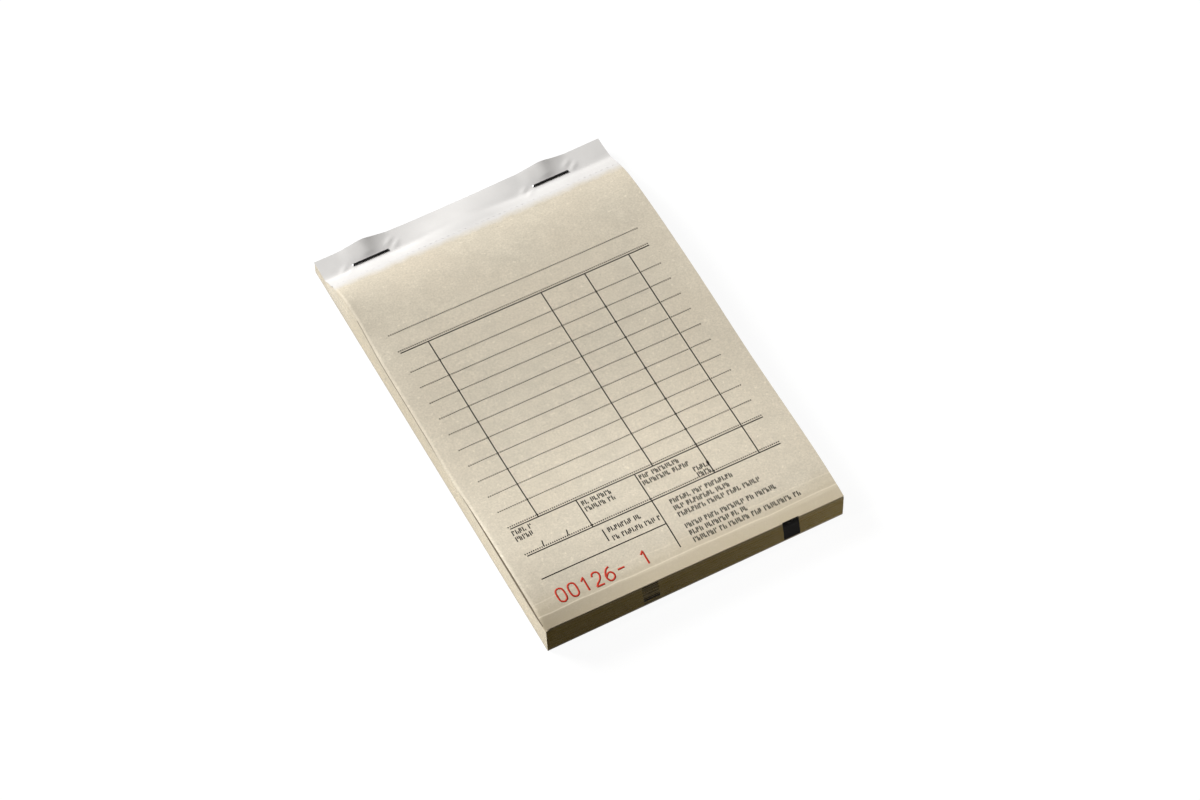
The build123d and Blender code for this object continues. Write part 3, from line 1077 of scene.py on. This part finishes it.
def print_sheet(name, height, body, text, pad, tree, inks):
    """Prints one sheet: the form in black and its running number in red, laid on the paper."""
    printing = pad.printing
    dotted, solid = form_lines(printing)
    runs = [((start, stop), 0.0, True) for start, stop in dotted]
    runs += [(straight(start, stop), printing.rule_width, False) for start, stop in solid]
    runs += [(straight(*stroke, step=STROKE_STEP), printing.stroke_width, False)
             for stroke in word_strokes()]
    digits = [(run, printing.number_stroke, False) for run in number_strokes(text, printing)]
    for label, lines, ink in (("form", runs, inks[0]), ("number", digits, inks[1])):
        piece = grow(f"{name}_{label}", line_mesh(label, lines), tree, {
            "Dot Pitch": printing.dot_pitch, "Dot Size": printing.dot_size, "Ink Height": INK_HEIGHT,
            "Material": ink})
        drape(piece, height, pad.shape)
        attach(piece, body)


# Grids that the sheets are laid over, closer where they bend

LEAF_COLUMNS = joined(
    LEFT_X + np.array([0, 0.2, 0.4, 0.7]) * MM, spaced(LEFT_X + 1.0 * MM, RIGHT_X, 1.0 * MM))
LEAF_ROWS = joined(
    spaced(FOOT_Y, FOOT_Y + 9 * MM, 0.4 * MM), spaced(FOOT_Y + 9 * MM, TEAR_Y - 17 * MM, 2.0 * MM),
    spaced(TEAR_Y - 17 * MM, TEAR_Y, 0.7 * MM))
HEAD_ROWS = spaced(TEAR_Y, HEAD_Y, 0.6 * MM)
PILE_COLUMNS = joined(
    LEFT_X + np.array([0, 2, 5]) * MM, spaced(LEFT_X + 8 * MM, STAPLE_XS[0] + 12 * MM, 4.2 * MM),
    spaced(STAPLE_XS[0] + 12 * MM, STAPLE_XS[1] - 12 * MM, 13 * MM),
    spaced(STAPLE_XS[1] - 12 * MM, RIGHT_X, 4.2 * MM))
PILE_ROWS = joined(
    FOOT_Y + np.array([0, 2.5, 6, 13]) * MM, spaced(FOOT_Y + 13 * MM, TEAR_Y - 14 * MM, 19 * MM),
    spaced(TEAR_Y - 14 * MM, TEAR_Y, 3.5 * MM), spaced(TEAR_Y, HEAD_Y, 2.1 * MM))
CARBON_COLUMNS = joined(
    spaced(CARBON_LOW.x, CARBON_LOW.x + 6 * MM, 0.25 * MM),
    spaced(CARBON_LOW.x + 6 * MM, CARBON_HIGH.x, 3 * MM))
CARBON_ROWS = joined(
    spaced(CARBON_LOW.y, CARBON_LOW.y + 8 * MM, 1 * MM),
    spaced(CARBON_LOW.y + 8 * MM, CARBON_HIGH.y, 2 * MM))
STRIP_COLUMNS = spaced(LEFT_X, RIGHT_X, 0.5 * MM)
STRIP_ROWS = spaced(TEAR_Y, HEAD_Y, 0.45 * MM)
TEAR_TEETH = 0.2 * MM

# Index marks on the foot edges
MARK_WIDTH = 5.5 * MM
MARK_DEPTH = 0.3 * MM
MARK_LEAN = 0.9 * MM
MARK_XS = (-15.8 * MM, 31.8 * MM)
MARK_SHARE = 0.98

# The floor, and for each light the point that it faces and how far it stands away from there
FLOOR_REACH, FLOOR_Z = 4.0, -0.05 * MM
KEY_TARGET = Vector((0, 0, 0))
KEY_AWAY = Vector((-0.51, 0.67, 0.54)).normalized() * 2.0
FOOT_TARGET = Vector((0.04, FOOT_Y, 0.005))
FOOT_AWAY = Vector((0.14, -0.17, 0.05)) - FOOT_TARGET
POOL_TARGET = Vector((-0.007, -0.052, 0.012))
POOL_AWAY = Vector((-0.72, 0.12, 0.66)).normalized() * 0.9


# Operators

class PadOperator(bpy.types.Operator):
    """Shared by the operators that make the pad's pieces."""

    bl_options = {"REGISTER", "UNDO"}

    def execute(self, context):
        self.build(context.scene.receipt_pad)
        return {"FINISHED"}


class RECEIPT_OT_pile(PadOperator):
    """Stacks the lower sets as single sheets that each lie a little out of line"""

    bl_idname = "receipt.pile"
    bl_label = "Sheet pile"

    def build(self, pad):
        paper = pile_material(pad.paper)
        base = sheet_mesh("pile_sheet", PILE_COLUMNS, PILE_ROWS, pad.shape, pile_top, 0.0, pile_bulge)
        pile = stack("sheet_pile", base, stacking_tree(), pad.shape, paper, PILE_LEVELS)
        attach(pile, "root")
        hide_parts(*(f"receipt_set_{number:02d}" for number in range(3, 51)))
        rows = joined(LEAF_ROWS, HEAD_ROWS[::2])
        sheets = [
            sheet_mesh("next_sheet", LEAF_COLUMNS[::2], rows, pad.shape, partial(level_height, level),
                       PAPER, pile_bulge)
            for level in (NEXT_COPY_LEVEL, NEXT_ORIGINAL_LEVEL)]
        next_set = new_piece("next_set", joined_mesh("next_set", sheets), paper)
        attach(next_set, "root")
        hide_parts("receipt_set_02")


class RECEIPT_OT_top_set(PadOperator):
    """Lays the top original, its copy and their stapled stubs on the pile"""

    bl_idname = "receipt.top_set"
    bl_label = "Top set"

    def build(self, pad):
        paper = leaf_material(pad.paper)
        for name, node, height, bulge, below, body in (
                ("original_leaf_sheet", "original_leaf_01", original_height, leaf_bulge, "copy_leaf",
                 "original_leaf"),
                ("copy_leaf_sheet", "copy_leaf_01", copy_height, pile_bulge, "root", "copy_leaf")):
            mesh = sheet_mesh(name, LEAF_COLUMNS, LEAF_ROWS, pad.shape, height, PAPER, bulge, TEAR_TEETH)
            leaf = new_piece(name, mesh, paper)
            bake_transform(leaf)
            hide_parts(node)
        stubs = [
            sheet_mesh("stub", LEAF_COLUMNS, HEAD_ROWS[::2], pad.shape, partial(level_height, level),
                       STUB_PAPER)
            for level in (COPY_LEVEL, ORIGINAL_LEVEL)]
        stub = new_piece("stub_sheets", joined_mesh("stub_sheets", stubs), paper)
        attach(stub, "root")
        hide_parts("copy_stub_01", "original_stub_01")


class RECEIPT_OT_carbon(PadOperator):
    """Lays the carbon sheet between the top original and its copy"""

    bl_idname = "receipt.carbon"
    bl_label = "Carbon sheet"

    def build(self, pad):
        mesh = sheet_mesh("carbon_sheet_paper", CARBON_COLUMNS, CARBON_ROWS, pad.shape, carbon_height,
                          CARBON_PAPER, carbon_bulge)
        carbon = new_piece("carbon_paper", mesh, carbon_material(pad.paper))
        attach(carbon, "carbon")
        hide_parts("carbon_sheet")


class RECEIPT_OT_strip(PadOperator):
    """Lays the white strip over the stubs, puckered by the staples"""

    bl_idname = "receipt.strip"
    bl_label = "Head strip"

    def build(self, pad):
        mesh = sheet_mesh("strip_paper", STRIP_COLUMNS, STRIP_ROWS, pad.shape, strip_height, STRIP_PAPER,
                          strip_bulge)
        strip = new_piece("head_strip_paper", mesh, strip_material(pad.paper))
        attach(strip, "root")
        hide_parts("head_strip")


class RECEIPT_OT_printing(PadOperator):
    """Prints the form and the running number on the top set and the next one"""

    bl_idname = "receipt.printing"
    bl_label = "Printed form"

    def build(self, pad):
        leaf_colour = pad.paper.leaf_colour
        inks = (ink_material("form_ink", pad.printing.ink_colour, leaf_colour, 0.62),
                ink_material("number_ink", pad.printing.number_colour, leaf_colour, 0.60))
        tree = printing_tree()
        number = pad.printing.first_number
        for name, height, body, text in (
                ("original", original_height, "original_leaf", f"{number:05d}- 1"),
                ("copy", copy_height, "copy_leaf", f"{number:05d}- 2"),
                ("next", partial(level_height, NEXT_ORIGINAL_LEVEL), "root", f"{number + 1:05d}- 1")):
            print_sheet(name, height, body, text, pad, tree, inks)


class RECEIPT_OT_edge_marks(PadOperator):
    """Prints the black index marks on the sheets' foot edges"""

    bl_idname = "receipt.edge_marks"
    bl_label = "Edge marks"

    def mark_mesh(self, middle, shape, height, thickness):
        columns = spaced(middle - MARK_WIDTH / 2, middle + MARK_WIDTH / 2, 2 * MM)
        rows = np.array([FOOT_Y - INK_HEIGHT, FOOT_Y + MARK_DEPTH])
        return sheet_mesh("edge_mark", columns, rows, shape, height, thickness)

    def build(self, pad):
        ink = ink_material("edge_ink", pad.printing.ink_colour, pad.paper.foot_edge_shade_colour, 0.78)
        tree = stacking_tree()
        for name, middle, step, presence in (
                ("left", MARK_XS[0], 2.0, 0.8), ("right", MARK_XS[1], 1.0, 1.0)):
            base = self.mark_mesh(middle, pad.shape, pile_top, 0.0)
            count = int(TOP_LEVEL * MARK_SHARE / step)
            mark = stack(f"edge_mark_{name}", base, tree, pad.shape, ink, count, step, MARK_LEAN, presence)
            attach(mark, "root")
        for name, body, height in (
                ("original", "original_leaf", original_height), ("copy", "copy_leaf", copy_height)):
            mesh = self.mark_mesh(MARK_XS[1], pad.shape, height, PAPER)
            mark = new_piece(f"edge_mark_{name}", mesh, ink)
            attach(mark, body)


class RECEIPT_OT_card_and_wire(PadOperator):
    """Gives the back card and the staples their finishes"""

    bl_idname = "receipt.card_and_wire"
    bl_label = "Back card and staples"

    def build(self, pad):
        wire = wire_material(pad.paper)
        finishes = {"backing_board": card_material(pad.paper), "staple_left": wire, "staple_right": wire}
        for node, material in finishes.items():
            dress(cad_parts[node].data, material)


class RECEIPT_OT_stage(PadOperator):
    """Sets up the floor, the studio light and the camera"""

    bl_idname = "receipt.stage"
    bl_label = "Stage"

    def floor(self):
        """A pale floor that looks white and sends little light back."""
        sides = ((-1, -1), (1, -1), (1, 1), (-1, 1))
        corners = [(x * FLOOR_REACH, y * FLOOR_REACH, FLOOR_Z) for x, y in sides]
        mesh = bpy.data.meshes.new("floor")
        mesh.from_pydata(corners, [], [(0, 1, 2, 3)])
        floor = new_object("floor", mesh)
        material = bpy.data.materials.new("pale_floor")
        material.use_nodes = True
        material.node_tree.nodes.clear()
        look = Nodes(material.node_tree)
        bounced = look.out("ShaderNodeBsdfDiffuse", {"Color": (0.12, 0.115, 0.10, 1)})
        shown = look.out("ShaderNodeBsdfDiffuse", {"Color": (0.09, 0.09, 0.09, 1)})
        glow = look.out("ShaderNodeEmission", {"Color": (1, 1, 1, 1), "Strength": 0.94})
        white = look.out("ShaderNodeAddShader", {0: shown, 1: glow})
        both = look.out("ShaderNodeMixShader", {0: look.seen_directly(), 1: bounced, 2: white})
        look.add("ShaderNodeOutputMaterial", {"Surface": both})
        mesh.materials.append(material)

    def world(self, stage):
        """White all round to the eye, with a faint warm fill."""
        world = bpy.data.worlds.new("studio")
        bpy.context.scene.world = world
        world.use_nodes = True
        world.node_tree.nodes.clear()
        look = Nodes(world.node_tree)
        fill = look.out("ShaderNodeBackground", {"Color": (1.0, 0.95, 0.86, 1), "Strength": stage.fill})
        white = look.out("ShaderNodeBackground", {"Color": (1, 1, 1, 1), "Strength": 1.0})
        both = look.out("ShaderNodeMixShader", {0: look.seen_directly(), 1: fill, 2: white})
        look.add("ShaderNodeOutputWorld", {"Surface": both})

    def lamp(self, name, kind, energy, target, away, **settings):
        """A light that stands away from its target and faces it."""
        light = bpy.data.lights.new(name, kind)
        light.energy = energy
        for setting, value in settings.items():
            setattr(light, setting, value)
        lamp = new_object(name, light)
        lamp.location = target + away
        lamp.rotation_euler = away.to_track_quat("Z", "Y").to_euler()
        lamp.visible_camera = False

    def lamps(self, stage):
        """A soft box behind the left, a small one before the foot, and a spot on the form's lower half."""
        self.lamp("key_box", "AREA", stage.key_power, KEY_TARGET, KEY_AWAY, shape="SQUARE", size=0.88,
                  color=(1.0, 0.995, 0.98))
        self.lamp("foot_box", "AREA", stage.foot_power, FOOT_TARGET, FOOT_AWAY, shape="SQUARE", size=0.06,
                  color=(1.0, 0.97, 0.88))
        self.lamp("pool_spot", "SPOT", stage.pool_power, POOL_TARGET, POOL_AWAY,
                  spot_size=math.radians(4.3), spot_blend=1.0, shadow_soft_size=0.042)

    def camera(self, stage):
        """The camera that sees the pad as in the picture."""
        lens = bpy.data.cameras.new("camera")
        lens.sensor_width = 36
        lens.lens = stage.lens
        lens.clip_start = 0.01
        camera = new_object("camera", lens)
        flat = math.cos(stage.elevation)
        back = Vector((
            math.sin(stage.azimuth) * flat, -math.cos(stage.azimuth) * flat, math.sin(stage.elevation)))
        right = Vector((0, 0, 1)).cross(back).normalized()
        up = back.cross(right)
        turned_right = right * math.cos(stage.roll) + up * math.sin(stage.roll)
        turned_up = up * math.cos(stage.roll) - right * math.sin(stage.roll)
        turn = Matrix((turned_right, turned_up, back)).transposed().to_4x4()
        camera.matrix_world = Matrix.Translation(Vector(stage.target) + back * stage.distance) @ turn
        bpy.context.scene.camera = camera

    def build(self, pad):
        self.floor()
        self.world(pad.stage)
        self.lamps(pad.stage)
        self.camera(pad.stage)
        bpy.context.scene.view_settings.view_transform = "Standard"


OPERATORS = (
    RECEIPT_OT_pile, RECEIPT_OT_top_set, RECEIPT_OT_carbon, RECEIPT_OT_strip, RECEIPT_OT_printing,
    RECEIPT_OT_edge_marks, RECEIPT_OT_card_and_wire, RECEIPT_OT_stage)


class RECEIPT_PT_pad(bpy.types.Panel):
    """Settings and pieces of the receipt pad"""

    bl_idname = "RECEIPT_PT_pad"
    bl_label = "Receipt pad"
    bl_space_type = "VIEW_3D"
    bl_region_type = "UI"
    bl_category = "Receipt pad"

    def draw(self, context):
        pad = context.scene.receipt_pad
        for group in (pad.paper, pad.shape, pad.printing, pad.stage):
            box = self.layout.box()
            for name in group.bl_rna.properties.keys():
                if name not in {"rna_type", "name"}:
                    box.prop(group, name)
        for operator in OPERATORS:
            self.layout.operator(operator.bl_idname)


CLASSES = (ReceiptPaper, ReceiptShape, ReceiptPrint, ReceiptStage, ReceiptPad, *OPERATORS, RECEIPT_PT_pad)


def register():
    for cls in CLASSES:
        bpy.utils.register_class(cls)
    bpy.types.Scene.receipt_pad = PointerProperty(type=ReceiptPad)


def unregister():
    del bpy.types.Scene.receipt_pad
    for cls in reversed(CLASSES):
        bpy.utils.unregister_class(cls)


def main():
    register()
    bpy.ops.receipt.pile()
    bpy.ops.receipt.top_set()
    bpy.ops.receipt.carbon()
    bpy.ops.receipt.strip()
    bpy.ops.receipt.printing()
    bpy.ops.receipt.edge_marks()
    bpy.ops.receipt.card_and_wire()
    bpy.ops.receipt.stage()


if __name__ == "__main__":
    main()
